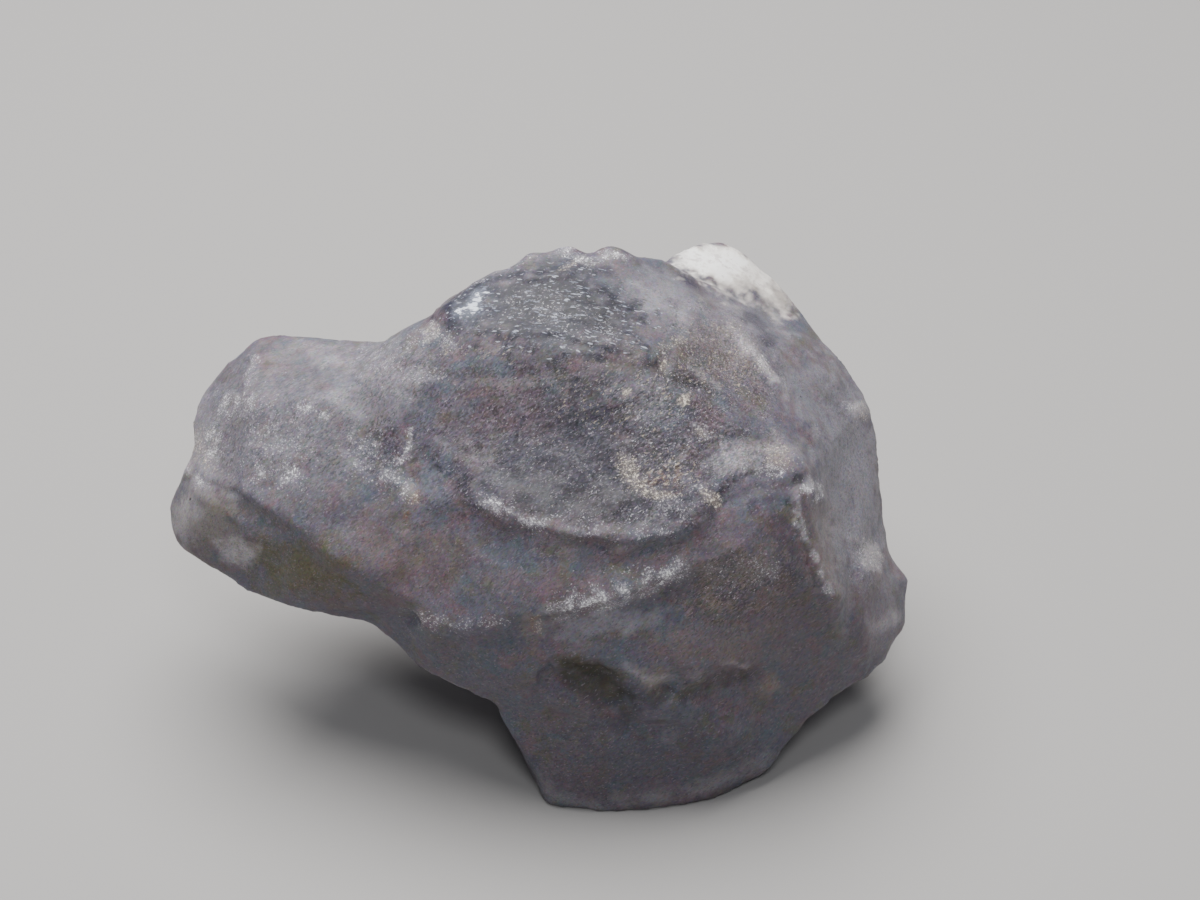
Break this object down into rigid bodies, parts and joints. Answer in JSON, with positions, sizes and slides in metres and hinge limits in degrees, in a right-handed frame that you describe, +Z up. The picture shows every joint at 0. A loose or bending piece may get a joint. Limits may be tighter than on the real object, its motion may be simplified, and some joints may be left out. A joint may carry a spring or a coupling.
{
  "type": "herderite crystal",
  "caption": "Rough broken herderite crystal: a rounded stone body on a narrow flat foot, with a blunt arm to one side, stepped fracture ledges across the front and a pale knob on top.",
  "frame": {"origin": "bottom centre of the bounding box, on the plane the stone rests on", "axes": "+X along the longest extent, from the end of the arm towards the rounded flank; +Y away from the ledged front; +Z up out of the resting face"},
  "size_m": [0.031, 0.019, 0.0197],
  "materials": {
    "herderite": "translucent lavender grey mineral, satin fracture faces with granular crystalline patches, frosted edges and iron-stained pits"
  },
  "bodies": {
    "root": {"herderite_crystal": "herderite"}
  },
  "joints": []
}
